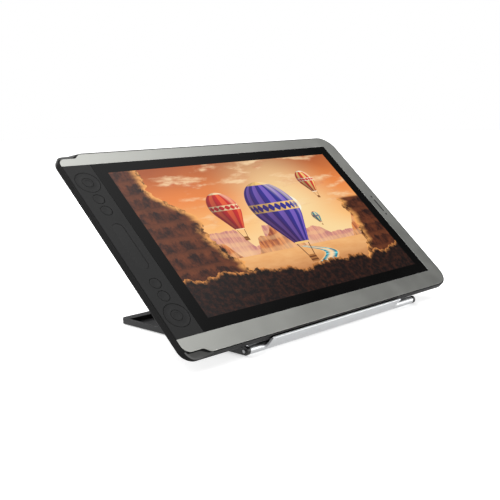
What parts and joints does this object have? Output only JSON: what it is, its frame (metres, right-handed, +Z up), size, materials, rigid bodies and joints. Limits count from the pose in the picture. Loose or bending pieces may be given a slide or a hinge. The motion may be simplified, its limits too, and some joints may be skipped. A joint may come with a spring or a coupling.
{
  "type": "pen drawing tablet",
  "caption": "Pen display tablet with a key panel beside its screen, leaning on a folding stand with a hinged easel, prop strut and notched tray.",
  "frame": {"origin": "under the middle of the object's outer box, on the table surface", "axes": "+X to the right along the tablet, +Y away from the user, +Z up"},
  "size_m": [0.431, 0.208, 0.1922],
  "materials": {
    "tray_black": "black powder coat, fine texture",
    "plate_black": "black powder coat",
    "rack_steel": "phosphated steel",
    "foot_rubber": "matt",
    "bar_aluminium": "satin anodised",
    "pin_steel": "turned",
    "bush_nylon": "moulded",
    "screw_steel": "zinc plated, dark",
    "shell_plastic": "fine spark-eroded texture",
    "chassis_plastic": "moulded, glass filled",
    "frame_aluminium": "bead blasted, warm grey anodised",
    "inlay_plastic": "moulded",
    "screen_glass": "etched cover glass, black printed border",
    "panel_glass": "panel laminate",
    "film_white": "white film",
    "guide_acrylic": "clear acrylic",
    "led_white": "white packages on a strip",
    "tray_tin": "pressed tin plate",
    "board_green": "solder resist",
    "socket_steel": "plated",
    "jack_plastic": "moulded",
    "key_plastic": "matt moulded",
    "bar_plastic": "matt moulded",
    "button_plastic": "matt moulded",
    "dome_steel": "snap domes",
    "gimbal_plastic": "acetal",
    "ribbon_film": "polyimide film"
  },
  "bodies": {
    "base": {"base_tray": "tray_black", "base_feet": "foot_rubber", "notch_racks": "rack_steel", "rack_screws": "screw_steel", "hinge_pins": "pin_steel"},
    "easel": {"hinge_bar": "bar_aluminium", "hinge_bushes": "bush_nylon", "easel_plate": "plate_black", "easel_screws": "screw_steel", "easel_pads": "foot_rubber", "lip_strip": "foot_rubber", "strut_pins": "pin_steel"},
    "strut": {"prop_strut": "plate_black", "foot_rod": "pin_steel"},
    "tablet": {"rear_shell": "shell_plastic", "rear_feet": "foot_rubber", "shell_screws": "screw_steel", "chassis": "chassis_plastic", "front_frame": "frame_aluminium", "trim_inlay": "inlay_plastic", "cover_glass": "screen_glass", "lcd_cell": "panel_glass", "diffuser_films": "film_white", "light_guide": "guide_acrylic", "led_strip": "led_white", "backlight_tray": "tray_tin", "sensor_board": "board_green", "shield_plate": "tray_tin", "main_board": "board_green", "board_screws": "screw_steel", "port_board": "board_green", "usb_sockets": "socket_steel", "video_socket": "socket_steel", "power_socket": "jack_plastic", "key_panel": "key_plastic", "key_board": "board_green", "dome_switches": "dome_steel", "touch_bar": "bar_plastic", "touch_sensor": "board_green", "side_board": "board_green", "display_ribbon": "ribbon_film", "key_ribbon": "ribbon_film", "port_ribbon": "ribbon_film"},
    "key_one": {"key_one": "key_plastic"},
    "key_two": {"key_two": "key_plastic"},
    "key_three": {"key_three": "key_plastic"},
    "key_four": {"key_four": "key_plastic"},
    "gimbal_upper": {"gimbal_upper": "gimbal_plastic"},
    "ring_upper": {"ring_upper": "key_plastic"},
    "middle_upper": {"middle_upper": "key_plastic"},
    "gimbal_lower": {"gimbal_lower": "gimbal_plastic"},
    "ring_lower": {"ring_lower": "key_plastic"},
    "middle_lower": {"middle_lower": "key_plastic"},
    "power_button": {"power_button": "button_plastic"},
    "brighter_button": {"brighter_button": "button_plastic"},
    "dimmer_button": {"dimmer_button": "button_plastic"}
  },
  "joints": [
    {"name": "easel_tilt", "type": "hinge", "parent": "base", "child": "easel", "pos_m": [0.0115, -0.08902, 0.0053], "axis": [1, 0, 0], "range_deg": [-41.85, 28]},
    {"name": "strut_fold", "type": "hinge", "parent": "easel", "child": "strut", "pos_m": [0.0115, -0.02347, 0.06401], "axis": [1, 0, 0], "range_deg": [-56, 83.7]},
    {"name": "tablet_lift", "type": "slide", "parent": "easel", "child": "tablet", "axis": [0, 0.7449, 0.6672], "range_m": [0, 0.1]},
    {"name": "key_one_press", "type": "slide", "parent": "tablet", "child": "key_one", "axis": [0, 0.6672, -0.7449], "range_m": [0, 0.0008], "stiffness_N_per_m": 600, "springref_m": -0.0006},
    {"name": "key_two_press", "type": "slide", "parent": "tablet", "child": "key_two", "axis": [0, 0.6672, -0.7449], "range_m": [0, 0.0008], "stiffness_N_per_m": 600, "springref_m": -0.0006},
    {"name": "key_three_press", "type": "slide", "parent": "tablet", "child": "key_three", "axis": [0, 0.6672, -0.7449], "range_m": [0, 0.0008], "stiffness_N_per_m": 600, "springref_m": -0.0006},
    {"name": "key_four_press", "type": "slide", "parent": "tablet", "child": "key_four", "axis": [0, 0.6672, -0.7449], "range_m": [0, 0.0008], "stiffness_N_per_m": 600, "springref_m": -0.0006},
    {"name": "ring_upper_rock_up_down", "type": "hinge", "parent": "tablet", "child": "gimbal_upper", "pos_m": [-0.1964, 0.06366, 0.16098], "axis": [1, 0, 0], "range_deg": [-2.2, 2.2], "stiffness_Nm_per_rad": 0.4},
    {"name": "ring_upper_rock_left_right", "type": "hinge", "parent": "gimbal_upper", "child": "ring_upper", "pos_m": [-0.1964, 0.06246, 0.16232], "axis": [0, 0.7449, 0.6672], "range_deg": [-2.2, 2.2], "stiffness_Nm_per_rad": 0.4},
    {"name": "middle_upper_press", "type": "slide", "parent": "tablet", "child": "middle_upper", "axis": [0, 0.6672, -0.7449], "range_m": [0, 0.0008], "stiffness_N_per_m": 600, "springref_m": -0.0006},
    {"name": "ring_lower_rock_up_down", "type": "hinge", "parent": "tablet", "child": "gimbal_lower", "pos_m": [-0.1964, -0.06446, 0.04623], "axis": [1, 0, 0], "range_deg": [-2.2, 2.2], "stiffness_Nm_per_rad": 0.4},
    {"name": "ring_lower_rock_left_right", "type": "hinge", "parent": "gimbal_lower", "child": "ring_lower", "pos_m": [-0.1964, -0.06566, 0.04757], "axis": [0, 0.7449, 0.6672], "range_deg": [-2.2, 2.2], "stiffness_Nm_per_rad": 0.4},
    {"name": "middle_lower_press", "type": "slide", "parent": "tablet", "child": "middle_lower", "axis": [0, 0.6672, -0.7449], "range_m": [0, 0.0008], "stiffness_N_per_m": 600, "springref_m": -0.0006},
    {"name": "power_button_press", "type": "slide", "parent": "tablet", "child": "power_button", "axis": [0, -0.7449, -0.6672], "range_m": [0, 0.0006], "stiffness_N_per_m": 800, "springref_m": -0.0005},
    {"name": "brighter_button_press", "type": "slide", "parent": "tablet", "child": "brighter_button", "axis": [0, -0.7449, -0.6672], "range_m": [0, 0.0006], "stiffness_N_per_m": 800, "springref_m": -0.0005},
    {"name": "dimmer_button_press", "type": "slide", "parent": "tablet", "child": "dimmer_button", "axis": [0, -0.7449, -0.6672], "range_m": [0, 0.0006], "stiffness_N_per_m": 800, "springref_m": -0.0005}
  ],
  "couplings": [
    {"joint": "strut_fold", "follows": "easel_tilt", "ratio": -2}
  ]
}
